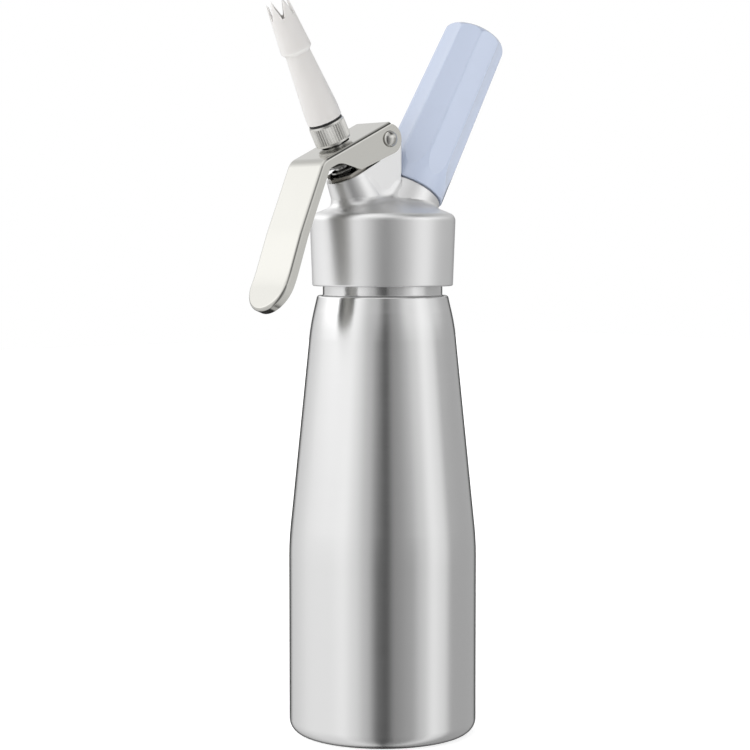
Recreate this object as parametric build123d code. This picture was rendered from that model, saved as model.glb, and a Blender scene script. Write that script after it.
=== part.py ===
from build123d import *
import math
import os

# Whipped cream dispenser with a lever valve and a screwed charger holder. Millimetres, +Z up.
# The origin is the middle of the bottle's flat foot. The lever and nozzle lean towards -X, the
# charger holder towards +X, and the XZ plane is the plane of symmetry.
# Two leaning axes carry the valve train and the charger. A place on one of them is given as its
# distance up that axis from the bottle's own axis.

# ---- Bottle -------------------------------------------------------------------------------------
bottle_r = 40.3
bottle_wall = 1.8
foot_thickness = 2.4
foot_fillet = 6.0
taper_start_z = 83.0        # corner between the cylinder and the long taper
taper_angle = 5.78          # degrees off the axis
taper_blend_r = 125.0
shoulder_start_z = 176.0    # corner between the long taper and the shoulder
shoulder_angle = 13.0
shoulder_blend_r = 90.0
shoulder_z = 188.6          # flat top of the shoulder
shoulder_corner_r = 1.2
inside_shoulder_r = 12.0    # bends of the wall's inner face, into the shoulder and into the neck
inside_neck_r = 6.0
neck_r = 25.6
neck_bore_r = 21.6
neck_band_height = 5.2
thread_core_r = 24.9        # neck above the band, where the screw thread is cut
neck_height = 16.8          # shoulder to mouth

# ---- Head casting -------------------------------------------------------------------------------
skirt_gap_z = 4.0           # bare neck band left showing under the skirt
skirt_bottom_r = 30.1
skirt_top_r = 31.2
skirt_lip_r = 0.8
skirt_corner_r = 3.4        # rounded edge between skirt and dome
dome_above_mouth = 24.2
dome_rim_r = 28.8           # where the dome runs out towards that edge
dome_rise = 6.0
thread_clearance = 0.4
gasket_thickness = 2.5
gasket_inner_r = 20.6
seat_gap = 0.05             # flat faces of two bodies that seal on each other
roof_thickness = 5.5
cavity_r = 20.0
casting_blend_r = 3.6       # concave edge where the boss and post stand on the dome

# ---- Lever post and pivot -----------------------------------------------------------------------
pivot_x = -5.8
pivot_above_mouth = 49.2
pivot_r = 2.0
pivot_head_r = 3.5
pivot_head_height = 1.7
pivot_nose_r = 3.8          # casting left round the pivot under the lever plate
post_half_width = 9.3
post_rear_x = 3.2
post_rear_corner_r = 6.0
post_foot_depth = 4.6       # how far the post is sunk into the dome
post_edge_r = 0.9

# ---- Lever --------------------------------------------------------------------------------------
sheet = 2.0
lever_side_gap = 0.45       # ear to post, each side
plate_above_pivot = 6.4     # outer face of the top plate from the pivot's axis
plate_angle = 25.5          # degrees below the horizontal, towards the handle
plate_front = 36.4          # along the plate from above the pivot to the corner with the handle
plate_rear = 3.3            # along the plate behind the pivot
ear_front = 19.6            # along the plate from the pivot to the ear's front corner
ear_front_depth = 11.7      # of that corner, below the plate's outer face
ear_front_slope = 9.0       # how much further along the ear's front edge reaches the rim
ear_corner_r = 1.6
arch_r = 7.0                # round cut-out between the ear and the rim
rim_depth = 4.4             # turned-down rim along the handle
corner_bend_r = 6.5
handle_angle_top = 22.4     # degrees off the vertical
handle_angle_low = 19.2
handle_angle_tip = 27.0
handle_top_length = 32.2
handle_low_length = 19.5
handle_tip_length = 14.8
handle_bend_r = 60.0
handle_tip_half_width = 12.0
handle_waist = 46.0         # up the handle from its tip, where it starts to widen
lever_edge_r = 1.4
pin_clearance = 0.06
slot_clearance = 0.8        # stem to the sides of the slot in the plate
slot_travel = 1.6           # extra length of the slot each way, for the plate's swing
nib_r = 1.2                 # half-round nibs that bear on the stem's flange
nib_offset = 6.2
lever_travel = 10.0         # degrees

# ---- Valve train, on the front axis ---------------------------------------------------------------
valve_angle = 28.0
valve_base_below_mouth = 2.4
stem_r = 4.0
stem_bore_r = 2.3
running = 0.06              # radial clearance of a running fit
fixed_fit = 0.02            # radial clearance of pieces screwed or pressed together
stem_flange_r = 7.2
stem_flange_thickness = 2.0
seat_s = 14.0
chamber_r = 5.0
chamber_length = 10.0
seat_boss_r = 8.5
o_ring_wire = 1.8
o_ring_top_s = 28.0
guide_r = 8.0
guide_floor = 2.5
spring_pocket_r = 6.8
guide_hex_flats = 15.6
guide_hex_height = 1.5
boss_rim_s = 41.7
boss_rim_r = 9.3
boss_draft = 7.0
boss_length = 22.0
spring_mean_r = 5.4
spring_wire_r = 0.6
spring_turns = 6.0
seal_disc_r = 6.5
seal_disc_thickness = 2.5
seal_nut_flats = 10.0
seal_nut_thickness = 2.9
spigot_r = 2.0              # threaded end of the stem below the seat
stem_top_s = 62.6
cross_hole_r = 1.5

# ---- Knurled adapter and nozzle ---------------------------------------------------------------------
adapter_bottom_s = 57.1
adapter_length = 9.0
adapter_r = 7.75
knurl_count = 44
knurl_depth = 0.32
knurl_margin = 0.9          # plain band at each end of the knurl
adapter_spigot_r = 5.0
adapter_spigot_length = 7.4
adapter_washer_thickness = 1.0
nozzle_seal_thickness = 0.9
nozzle_base_r = 7.4
nozzle_neck_r = 5.3
nozzle_cone_length = 33.0
nozzle_base_height = 5.0
nozzle_base_blend_r = 40.0
petal_root_r = 6.65
petal_tip_r = 4.7
petal_length = 24.0
petal_count = 6
petal_turn = 53.0           # degrees from the plane of symmetry to a cut
petal_cut_depth = 9.5
petal_cut_width = 5.2
petal_step = 1.4            # height of the rounded step under the petals
nozzle_wall = 1.5
socket_clearance = 0.09

# ---- Charger holder and port, on the rear axis --------------------------------------------------------
charger_angle = 30.0
charger_base_above_mouth = 3.6
port_boss_r = 15.0
port_face_s = 27.5
port_boss_length = 13.5
port_boss_draft = 7.0
stud_r = 12.0
stud_length = 12.5
stud_bore_r = 8.8
holder_gap = 0.8            # dark line between port face and holder
holder_clearance = 0.5      # scallop in the lever post round the holder's mouth
holder_length = 79.2
holder_mouth_r = 15.75
holder_end_r = 13.85
holder_end_fillet = 4.2
core_wall = 1.5
core_thread_length = 16.0
flute_count = 9
flute_r = 60.0
flute_depth = 0.92
flute_start = 18.5          # from the mouth to the middle of the flute's round end
flute_end = -8.0            # from the closed end, past which the flute runs out
charger_r = 9.3
charger_length = 65.5
charger_neck_r = 4.4
charger_neck_length = 12.0
charger_shoulder_length = 7.0
charger_wall = 1.5
charger_clearance = 0.35
charger_seal_thickness = 2.0
piercer_flange_r = 8.4
piercer_flange_thickness = 2.6
piercer_thread_r = 6.4
piercer_thread_length = 7.0
piercer_nose_r = 3.0
piercer_nose_length = 7.0
port_pocket_depth = 10.5    # from the stud's end down to the seat of the piercer's flange
needle_r = 0.9
needle_bore_r = 0.35
needle_reach = 3.2
sleeve_wall = 1.1
gas_way_r = 1.2


# ---- Sizes that follow from the ones above -------------------------------------------------------------
mouth_z = shoulder_z + neck_height
dome_top_z = mouth_z + dome_above_mouth
pivot_z = mouth_z + pivot_above_mouth
valve_base_z = mouth_z - valve_base_below_mouth
charger_base_z = mouth_z + charger_base_above_mouth
skirt_bottom_z = shoulder_z + skirt_gap_z
gasket_z = mouth_z + seat_gap
gasket_top_z = gasket_z + gasket_thickness
skirt_bore_r = thread_core_r + thread_clearance
neck_recess_r = neck_r + thread_clearance
dome_r = (dome_rim_r**2 + dome_rise**2) / (2 * dome_rise)
dome_rim_z = dome_top_z - dome_rise
dome_rim_slope = math.tan(math.asin(dome_rim_r / dome_r))
skirt_top_z = dome_rim_z - (skirt_top_r - dome_rim_r) * dome_rim_slope

port_top_s = port_face_s + stud_length
piercer_seat_s = port_top_s - port_pocket_depth
charger_tip_s = piercer_seat_s + piercer_flange_thickness + charger_seal_thickness + seat_gap
holder_mouth_s = port_face_s + holder_gap
holder_end_s = holder_mouth_s + holder_length

guide_seat_s = o_ring_top_s
spring_floor_s = guide_seat_s + guide_floor
adapter_top_s = adapter_bottom_s + adapter_length
nozzle_base_s = adapter_top_s + nozzle_seal_thickness + 2 * seat_gap

# The pivot seen along the front axis: u across it towards the handle, v up it.
valve_turn = math.radians(valve_angle)
pivot_u = -pivot_x * math.cos(valve_turn) - (pivot_z - valve_base_z) * math.sin(valve_turn)
pivot_v = -pivot_x * math.sin(valve_turn) + (pivot_z - valve_base_z) * math.cos(valve_turn)
plate_under = plate_above_pivot - sheet
rest_tilt = math.radians(plate_angle - valve_angle)
mid_tilt = rest_tilt + math.radians(lever_travel) / 2
nib_along = (-pivot_u - plate_under * math.sin(mid_tilt)) / math.cos(mid_tilt)
nib_v = pivot_v + plate_under * math.cos(rest_tilt) - nib_along * math.sin(rest_tilt)
flange_top_s = nib_v - nib_r - seat_gap
flange_low_s = flange_top_s - stem_flange_thickness
lever_half_width = post_half_width + lever_side_gap + sheet


# ---- Helpers ----------------------------------------------------------------------------------------
def turned(*corners):
    """Solid turned about Z from (radius, height) corners."""
    return revolve(Plane.XZ * make_face(Polyline(*corners, close=True)), Axis.Z)


def rounded_turned(corners, radii):
    """Solid turned about Z from an open outline that starts and ends on the axis."""
    outline = FilletPolyline(*corners, radius=radii)
    face = make_face([outline, Line(outline @ 1, outline @ 0)])
    return revolve(Plane.XZ * face, Axis.Z)


def tube(outer_r, inner_r, low, high):
    """Plain ring about Z."""
    return turned((inner_r, low), (outer_r, low), (outer_r, high), (inner_r, high))


def rod(radius, low, high):
    """Plain cylinder about Z."""
    return turned((0, low), (radius, low), (radius, high), (0, high))


def hexagon(flats, low, high):
    """Hexagonal prism about Z, measured across its flats."""
    outline = RegularPolygon(flats / 2, 6, major_radius=False)
    return extrude(Plane.XY.offset(low) * outline, high - low)


def valve_place(shape):
    """Moves a shape from the Z axis to the front axis."""
    return Location((0, 0, valve_base_z), (0, -valve_angle, 0)) * shape


def charger_place(shape):
    """Moves a shape from the Z axis to the rear axis."""
    return Location((0, 0, charger_base_z), (0, charger_angle, 0)) * shape


def save(shape, node):
    """Writes one node."""
    export_step(shape, f"parts/{node}.step")


# ---- Bottle and head --------------------------------------------------------------------------------
def bottle():
    taper = math.tan(math.radians(taper_angle))
    shoulder_start_r = bottle_r - (shoulder_start_z - taper_start_z) * taper
    shoulder = math.tan(math.radians(shoulder_angle))
    shoulder_r = shoulder_start_r - (shoulder_z - shoulder_start_z) * shoulder
    band_top_z = shoulder_z + neck_band_height
    band_chamfer = neck_r - thread_core_r
    outside = rounded_turned(
        [
            (0, 0),
            (bottle_r, 0),
            (bottle_r, taper_start_z),
            (shoulder_start_r, shoulder_start_z),
            (shoulder_r, shoulder_z),
            (neck_r, shoulder_z),
            (neck_r, band_top_z),
            (thread_core_r, band_top_z + band_chamfer),
            (thread_core_r, mouth_z),
            (0, mouth_z),
        ],
        [foot_fillet, taper_blend_r, shoulder_blend_r, shoulder_corner_r, 0.4, 0, 0, 0.5],
    )
    inside = rounded_turned(
        [
            (0, foot_thickness),
            (bottle_r - bottle_wall, foot_thickness),
            (bottle_r - bottle_wall, taper_start_z),
            (shoulder_start_r - bottle_wall, shoulder_start_z),
            (neck_bore_r, shoulder_z),
            (neck_bore_r, mouth_z + 1),
            (0, mouth_z + 1),
        ],
        [foot_fillet - bottle_wall, taper_blend_r, inside_shoulder_r, inside_neck_r, 0],
    )
    return outside - inside


def head_shell():
    """Skirt and dome, solid inside."""
    side = FilletPolyline(
        (0, skirt_bottom_z),
        (skirt_bottom_r, skirt_bottom_z),
        (skirt_top_r, skirt_top_z),
        (dome_rim_r, dome_rim_z),
        radius=[skirt_lip_r, skirt_corner_r],
    )
    dome = RadiusArc((dome_rim_r, dome_rim_z), (0, dome_top_z), -dome_r)
    axis = Line((0, dome_top_z), (0, skirt_bottom_z))
    return revolve(Plane.XZ * make_face([*side.edges(), dome, axis]), Axis.Z)


def lever_post():
    """Block between the lever's ears, rounded over the pivot."""
    top_z = pivot_z + pivot_nose_r
    front_x = pivot_x - pivot_nose_r
    foot_z = dome_top_z - post_foot_depth
    outline = FilletPolyline(
        (front_x, foot_z),
        (front_x, top_z),
        (post_rear_x, top_z),
        (post_rear_x, foot_z),
        close=True,
        radius=[0, pivot_nose_r * 0.98, post_rear_corner_r, 0],
    )
    post = extrude(Plane.XZ * make_face(outline), post_half_width, both=True)
    sides = post.faces().filter_by(Axis.Y)
    return fillet(sides.edges(), post_edge_r)


def boss_web():
    """Plate that fills the gap between the valve boss and the post, flush with the boss's rim."""
    foot_z = dome_top_z - post_foot_depth
    rim_x = -boss_rim_s * math.sin(valve_turn)
    rim_z = valve_base_z + boss_rim_s * math.cos(valve_turn)
    top_z = rim_z + (pivot_x - rim_x) * math.tan(valve_turn)
    foot_x = -(foot_z - valve_base_z) * math.tan(valve_turn)
    outline = Polyline((rim_x, rim_z), (pivot_x, top_z), (pivot_x, foot_z), (foot_x, foot_z), close=True)
    return extrude(Plane.XZ * make_face(outline), post_half_width, both=True)


def drafted_boss(top_r, top_s, length, draft):
    """Boss about Z that widens downwards."""
    low_r = top_r + length * math.tan(math.radians(draft))
    return turned((0, top_s - length), (low_r, top_s - length), (top_r, top_s), (0, top_s))


def valve_boss():
    """Boss round the front axis."""
    return valve_place(drafted_boss(boss_rim_r, boss_rim_s, boss_length, boss_draft))


def port_boss():
    """Boss under the charger holder."""
    return charger_place(drafted_boss(port_boss_r, port_face_s, port_boss_length, port_boss_draft))


def head_cavity():
    """Space inside the head: neck thread, gasket seat and the hollow of the dome."""
    ceiling_z = dome_top_z - roof_thickness
    return turned(
        (0, skirt_bottom_z - 1),
        (neck_recess_r, skirt_bottom_z - 1),
        (neck_recess_r, shoulder_z + neck_band_height + 1),
        (skirt_bore_r, shoulder_z + neck_band_height + 2),
        (skirt_bore_r, gasket_top_z + seat_gap),
        (cavity_r, gasket_top_z + seat_gap),
        (cavity_r * 0.7, ceiling_z),
        (0, ceiling_z),
    )


def on_dome(edge):
    """True for an edge where a boss meets the dome, and not for the dome's seam or rim."""
    middle = edge @ 0.5
    seam = all(abs((edge @ at).Y) < 1e-6 for at in (0, 0.5, 1))
    return not seam and math.hypot(middle.X, middle.Y) < dome_rim_r - 0.3


def head_outside():
    """Casting with the valve boss, web and lever post blended into the dome."""
    casting = head_shell() + lever_post() + boss_web() + valve_boss()
    dome = casting.faces().filter_by(GeomType.SPHERE)[0]
    feet = [edge for edge in dome.edges() if on_dome(edge)]
    return fillet(feet, casting_blend_r) + port_boss()


def valve_ways():
    """Chamber, gland, bush thread and mouth cut along the front axis."""
    chamber_top_s = seat_s + chamber_length
    gland_s = o_ring_top_s - o_ring_wire - 0.3
    ways = rod(chamber_r, seat_s - 4, chamber_top_s)
    ways += rod(stem_r + running, chamber_top_s - 1, gland_s + 1)
    ways += rod(stem_r + o_ring_wire + 2 * running, gland_s, o_ring_top_s)
    ways += rod(guide_r + fixed_fit, guide_seat_s, boss_rim_s + 1)
    return valve_place(ways)


def port_ways():
    """Recess for the piercer and its gas way, cut along the rear axis."""
    nose_low_s = piercer_seat_s - piercer_thread_length - piercer_nose_length
    ways = rod(stud_bore_r, piercer_seat_s, port_top_s + 1)
    ways += rod(piercer_thread_r + fixed_fit, piercer_seat_s - piercer_thread_length, piercer_seat_s + 1)
    ways += rod(piercer_nose_r + sleeve_wall + 0.6, nose_low_s - 3, piercer_seat_s - 1)
    return charger_place(ways)


def inner_bosses():
    """Valve seat and gas outlet standing down into the hollow of the dome."""
    seat = valve_place(rod(seat_boss_r, seat_s, seat_s + chamber_length + 4))
    nose_low_s = piercer_seat_s - piercer_thread_length - piercer_nose_length
    outlet_r = piercer_nose_r + sleeve_wall + 2.4
    outlet = charger_place(rod(outlet_r, nose_low_s - 1, port_face_s - 6))
    return seat + outlet


def head():
    outside = head_outside()
    casting = outside - head_cavity() + (inner_bosses() & outside)
    casting -= charger_place(rod(holder_mouth_r + holder_clearance, port_face_s, holder_end_s))
    casting += charger_place(rod(stud_r, port_face_s - 1, port_top_s))
    casting -= valve_ways() + port_ways()
    pin_hole = Location((pivot_x, 0, pivot_z), (90, 0, 0)) * Cylinder(
        pivot_r + fixed_fit, 2 * post_half_width + 2
    )
    return casting - pin_hole


def head_gasket():
    """Silicone ring between the bottle's mouth and the head."""
    return tube(skirt_bore_r - 0.15, gasket_inner_r, gasket_z, gasket_top_z)


# ---- Lever --------------------------------------------------------------------------------------------
# The lever is drawn in the plane of symmetry. A place on its top plate is given as a distance along
# the plate towards the handle, from above the pivot, and a depth below the plate's outer face.
plate_dip = math.radians(plate_angle)
plate_along = Vector(-math.cos(plate_dip), -math.sin(plate_dip))
plate_inwards = Vector(math.sin(plate_dip), -math.cos(plate_dip))
plate_foot = Vector(pivot_x, pivot_z) - plate_inwards * plate_above_pivot
far = 60.0                  # longer than any reach of the lever's inside


def on_plate(along, depth):
    """Point of the plane of symmetry from its place on the plate."""
    return plate_foot + plate_along * along + plate_inwards * depth


def lever_corners():
    """Corners of the outer face of the plate and handle, from the rear, and the tip's end."""
    corners = [on_plate(-plate_rear, 0), on_plate(plate_front, 0)]
    runs = (
        (handle_angle_top, handle_top_length),
        (handle_angle_low, handle_low_length),
        (handle_angle_tip, handle_tip_length),
    )
    for angle, length in runs:
        lean = math.radians(angle)
        corners.append(corners[-1] + Vector(-math.sin(lean), -math.cos(lean)) * length)
    return corners


def lever_line(past_tip):
    """Outer face of the plate and handle as one bent line, carried on past the tip."""
    corners = lever_corners()
    last = corners[-1] - corners[-2]
    corners[-1] += last.normalized() * past_tip
    return FilletPolyline(*corners, radius=[corner_bend_r, handle_bend_r, handle_bend_r])


def ear_face():
    """Side of one ear: round the pivot, deep at the back and ended by a slanted edge."""
    pivot = Vector(pivot_x, pivot_z)
    ear_r = plate_above_pivot
    corner = on_plate(ear_front, ear_front_depth)
    drop = math.atan2(ear_front_depth - ear_r, ear_front)
    reach = math.hypot(ear_front_depth - ear_r, ear_front)
    turn = drop + math.acos(ear_r / reach)
    tangent = on_plate(ear_r * math.cos(turn), ear_r + ear_r * math.sin(turn))
    plate = make_face(
        Polyline(
            on_plate(0, 0),
            pivot,
            tangent,
            corner,
            on_plate(ear_front + ear_front_slope, rim_depth),
            on_plate(ear_front + ear_front_slope, 0),
            close=True,
        )
    )
    return plate + Pos(pivot.X, pivot.Y) * Circle(ear_r)


def lever_side():
    """Whole side of the lever, in the plane of symmetry."""
    outer = lever_line(far)
    inner = outer.offset_2d(rim_depth, closed=False, side=Side.LEFT)
    near_end = Line(inner @ 1, outer @ 0)
    far_end = Line(outer @ 1, inner @ 0)
    strip = make_face([*outer.edges(), far_end, *inner.edges(), near_end])
    side = strip + ear_face()
    corner = on_plate(ear_front, ear_front_depth)
    side = fillet(side.vertices().sort_by_distance(corner)[0], ear_corner_r)
    arch = on_plate(ear_front + ear_front_slope, rim_depth)
    return fillet(side.vertices().sort_by_distance(arch)[0], arch_r)


def lever_hollow():
    """Everything on the inside of the sheet, in the plane of symmetry, open behind the plate."""
    inner = lever_line(far).offset_2d(sheet, closed=False, side=Side.LEFT)
    plate_end = inner @ 1
    above = on_plate(-plate_rear, -far)
    corners = [plate_end, above, above + Vector(far, 0), inner @ 0 + Vector(2 * far, 0), inner @ 0]
    return make_face([*inner.edges(), *Polyline(*corners).edges()])


def plan_prism(inset):
    """Plan of the lever seen square to its handle, carried through it: straight, then a round tip."""
    lean = math.radians((handle_angle_top + handle_angle_low) / 2)
    tip = lever_corners()[-1]
    out = Vector(-math.cos(lean), 0, math.sin(lean))
    plane = Plane(origin=(tip.X, 0, tip.Y), x_dir=(0, 1, 0), z_dir=out)
    flip = 1 if plane.y_dir.Z > 0 else -1
    wide = handle_tip_half_width - inset
    narrow = lever_half_width - inset
    tip_centre = handle_tip_half_width
    left = Polyline(
        (-narrow, flip * 3 * far),
        (-narrow, flip * handle_waist),
        (-wide, flip * tip_centre),
    )
    end = ThreePointArc((-wide, flip * tip_centre), (0, flip * inset), (wide, flip * tip_centre))
    right = Polyline(
        (wide, flip * tip_centre),
        (narrow, flip * handle_waist),
        (narrow, flip * 3 * far),
        (-narrow, flip * 3 * far),
    )
    return extrude(plane * make_face([*left.edges(), end, *right.edges()]), 2 * far, both=True)


def outer_edge(edge, line):
    """True for an edge between the outer face and the turned-down sides."""
    across = edge.geom_type == GeomType.LINE and abs((edge % 0.5).Y) > 0.99
    places = [edge @ at for at in (0, 0.3, 0.7, 1)]
    return not across and all(
        line.distance_to(Vector(place.X, place.Z)) < 1e-3 for place in places
    )


def lever():
    side = Plane.XZ * lever_side()
    hollow = Plane.XZ * lever_hollow()
    body = extrude(side, far, both=True) & plan_prism(0)
    line = lever_line(far)
    edges = [edge for edge in body.edges() if outer_edge(edge, line)]
    body = fillet(edges, lever_edge_r)
    body -= extrude(hollow, far, both=True) & plan_prism(sheet)
    nib_centre = on_plate(nib_along, sheet)
    for y in (-nib_offset, nib_offset):
        body += Pos(nib_centre.X, y, nib_centre.Y) * Sphere(nib_r)
    slot_place = on_plate(nib_along, sheet / 2)
    slot_plane = Plane(
        origin=(slot_place.X, 0, slot_place.Y),
        x_dir=(plate_along.X, 0, plate_along.Y),
        z_dir=(plate_inwards.X, 0, plate_inwards.Y),
    )
    slot_width = 2 * (stem_r + slot_clearance)
    slot = extrude(slot_plane * SlotOverall(slot_width + 2 * slot_travel, slot_width), sheet, both=True)
    pin_hole = Location((pivot_x, 0, pivot_z), (90, 0, 0)) * Cylinder(pivot_r + pin_clearance, 2 * far)
    return body - slot - pin_hole


def pivot_pin():
    """Rivet with a domed head outside each ear."""
    half = lever_half_width + seat_gap
    shaft = rod(pivot_r, -half, half)
    dome_r = (pivot_head_r**2 + pivot_head_height**2) / (2 * pivot_head_height)
    dome = make_face(
        [
            Line((0, half), (pivot_head_r, half)),
            RadiusArc((pivot_head_r, half), (0, half + pivot_head_height), -dome_r),
            Line((0, half + pivot_head_height), (0, half)),
        ]
    )
    end = revolve(Plane.XZ * dome, Axis.Z)
    pin = shaft + end + mirror(end, Plane.XY)
    return Location((pivot_x, 0, pivot_z), (90, 0, 0)) * pin


# ---- Valve train -----------------------------------------------------------------------------------------
def valve_stem():
    """Tube with a flange, closed and necked down below its side holes."""
    tube_low_s = seat_s - seat_gap
    nut_low_s = tube_low_s - seal_disc_thickness - seal_nut_thickness
    bore_low_s = seat_s + 2.4
    stem = turned(
        (0, nut_low_s - 0.6),
        (spigot_r, nut_low_s - 0.6),
        (spigot_r, tube_low_s),
        (stem_r, tube_low_s),
        (stem_r, flange_low_s),
        (stem_flange_r, flange_low_s),
        (stem_flange_r, flange_top_s),
        (stem_r, flange_top_s),
        (stem_r, stem_top_s),
        (stem_bore_r, stem_top_s),
        (stem_bore_r, bore_low_s),
        (0, bore_low_s),
    )
    side_hole_s = bore_low_s + cross_hole_r + 0.5
    side_hole = Location((0, 0, side_hole_s), (90, 0, 0)) * Cylinder(cross_hole_r, 4 * stem_r)
    return valve_place(stem - side_hole)


def valve_guide():
    """Screwed bush in the mouth of the boss: a cup for the spring with a hexagon rim."""
    cup = rod(guide_r, guide_seat_s, boss_rim_s)
    rim_low_s = boss_rim_s + seat_gap
    cup += hexagon(guide_hex_flats, rim_low_s, rim_low_s + guide_hex_height)
    cup += rod(guide_hex_flats / 2 - 0.4, boss_rim_s - 0.5, rim_low_s + 0.5)
    cup -= rod(spring_pocket_r, spring_floor_s, rim_low_s + guide_hex_height + 1)
    return valve_place(cup - rod(stem_r + running, guide_seat_s - 1, spring_floor_s + 1))


def valve_spring():
    """Compression spring between the bush and the stem's flange."""
    low = spring_floor_s + spring_wire_r + seat_gap
    height = flange_low_s - spring_wire_r - seat_gap - low
    path = Helix(height / spring_turns, height, spring_mean_r, center=(0, 0, low))
    wire = Plane(origin=path @ 0, z_dir=path % 0) * Circle(spring_wire_r)
    return valve_place(sweep(wire, path=path, is_frenet=True))


def stem_o_ring():
    """Seals the stem in the casting, under the bush."""
    wire_r = o_ring_wire / 2
    section = Pos(stem_r + running + wire_r, o_ring_top_s - wire_r - seat_gap) * Circle(wire_r)
    return valve_place(revolve(Plane.XZ * section, Axis.Z))


def valve_seal():
    """Rubber disc that closes the valve seat from below."""
    top = seat_s - seat_gap
    return valve_place(tube(seal_disc_r, spigot_r + fixed_fit, top - seal_disc_thickness, top))


def seal_nut():
    """Nut that holds the disc on the stem."""
    top = seat_s - seat_gap - seal_disc_thickness
    nut = hexagon(seal_nut_flats, top - seal_nut_thickness, top)
    return valve_place(nut - rod(spigot_r + fixed_fit, top - seal_nut_thickness - 1, top + 1))


# ---- Adapter and nozzle ------------------------------------------------------------------------------------
def knurled_band(low, high):
    """Straight knurl: a star-shaped bar with shallow teeth."""
    points = []
    for step in range(2 * knurl_count):
        radius = adapter_r - knurl_depth * (step % 2)
        turn = math.pi * step / knurl_count
        points.append((radius * math.cos(turn), radius * math.sin(turn)))
    return extrude(Plane.XY.offset(low) * make_face(Polyline(*points, close=True)), high - low)


def nozzle_adapter():
    """Knurled ring on the stem's end, with the spigot that the nozzle screws onto."""
    low = adapter_bottom_s
    ring = knurled_band(low + knurl_margin, adapter_top_s - knurl_margin)
    ring += rod(adapter_r - knurl_depth, low, adapter_top_s)
    ring += rod(adapter_spigot_r, adapter_top_s - 1, adapter_top_s + adapter_spigot_length)
    socket_top_s = stem_top_s + adapter_washer_thickness + 2 * seat_gap
    ring -= rod(stem_r + fixed_fit, low - 1, socket_top_s)
    return valve_place(ring - rod(stem_bore_r, low, adapter_top_s + adapter_spigot_length + 1))


def adapter_washer():
    """Seals the adapter on the stem's end."""
    low = stem_top_s + seat_gap
    return valve_place(tube(stem_r - 0.1, stem_bore_r + 0.1, low, low + adapter_washer_thickness))


def nozzle_seal():
    """Dark washer between the knurled ring and the nozzle."""
    low = adapter_top_s + seat_gap
    inner_r = adapter_spigot_r + socket_clearance
    return valve_place(tube(nozzle_base_r - 0.25, inner_r, low, low + nozzle_seal_thickness))


def nozzle():
    """Decorating tip: a cone with a threaded socket, ending in pointed petals."""
    low = nozzle_base_s
    step_s = low + nozzle_cone_length
    top_s = step_s + petal_length
    outside = rounded_turned(
        [
            (0, low),
            (nozzle_base_r, low),
            (nozzle_base_r, low + nozzle_base_height),
            (nozzle_neck_r, step_s),
            (petal_root_r, step_s + petal_step),
            (petal_tip_r, top_s),
            (0, top_s),
        ],
        [0.3, nozzle_base_blend_r, 0.4, 0.8, 1.2],
    )
    socket_top_s = low + adapter_spigot_length + 0.6
    throat_r = nozzle_neck_r - nozzle_wall
    inside = turned(
        (0, low - 1),
        (adapter_spigot_r + socket_clearance, low - 1),
        (adapter_spigot_r + socket_clearance, socket_top_s),
        (throat_r + 0.8, socket_top_s + 1),
        (throat_r, step_s - 2),
        (petal_root_r - nozzle_wall, step_s + 2 * petal_step),
        (petal_tip_r - nozzle_wall * 0.7, top_s + 0.01),
        (0, top_s + 0.01),
    )
    tip = outside - inside
    cut_low_s = top_s - petal_cut_depth
    cut = make_face(
        FilletPolyline(
            (-petal_cut_width / 2, top_s + 0.01),
            (0, cut_low_s),
            (petal_cut_width / 2, top_s + 0.01),
            close=True,
            radius=[0, 0.5, 0],
        )
    )
    slot = extrude(Plane.XZ * cut, 2 * petal_root_r, both=True)
    for index in range(petal_count // 2):
        tip -= Rot(0, 0, petal_turn + 90 + index * 360 / petal_count) * slot
    return valve_place(tip)


# ---- Charger holder and port -------------------------------------------------------------------------------
def holder_r(along):
    """Outer radius of the holder at a distance from its mouth."""
    return holder_mouth_r + (holder_end_r - holder_mouth_r) * along / holder_length


def core_radii():
    """Outer radii of the liner at its thread and round the cartridge."""
    bore_r = charger_r + charger_clearance
    return stud_r + socket_clearance + core_wall, bore_r + core_wall


def core_top_s():
    """Top of the liner, past the cartridge's end."""
    return charger_tip_s + charger_length + charger_clearance + core_wall


def holder_shell():
    """Fluted outer sleeve, closed at the far end."""
    shell = rounded_turned(
        [
            (0, holder_mouth_s),
            (holder_mouth_r, holder_mouth_s),
            (holder_end_r, holder_end_s),
            (0, holder_end_s),
        ],
        [0.6, holder_end_fillet],
    )
    tilt = math.degrees(math.atan((holder_mouth_r - holder_end_r) / holder_length))
    middle = (flute_start + holder_length - flute_end) / 2
    length = holder_length - flute_start - flute_end
    capsule = Cylinder(flute_r, length) + Pos(0, 0, length / 2) * Sphere(flute_r)
    capsule += Pos(0, 0, -length / 2) * Sphere(flute_r)
    reach = holder_r(middle) - flute_depth + flute_r
    cutter = Location((reach, 0, holder_mouth_s + middle), (0, -tilt, 0)) * capsule
    for index in range(flute_count):
        shell -= Rot(0, 0, (index + 0.5) * 360 / flute_count) * cutter
    thread_r, cartridge_r = core_radii()
    thread_top_s = holder_mouth_s + core_thread_length
    shell -= rod(thread_r + fixed_fit, holder_mouth_s - 1, thread_top_s + fixed_fit)
    shell -= rod(cartridge_r + fixed_fit, holder_mouth_s, core_top_s() + fixed_fit)
    return charger_place(shell)


def holder_core():
    """Metal liner: thread for the port below, closed sleeve round the cartridge above."""
    thread_r, cartridge_r = core_radii()
    mouth_s = holder_mouth_s + 0.3
    thread_top_s = holder_mouth_s + core_thread_length
    core = rod(thread_r, mouth_s, thread_top_s) + rod(cartridge_r, mouth_s, core_top_s())
    core -= rod(stud_r + socket_clearance, mouth_s - 1, port_top_s + 0.5)
    core -= rod(charger_r + charger_clearance, mouth_s, core_top_s() - core_wall)
    return charger_place(core)


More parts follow.
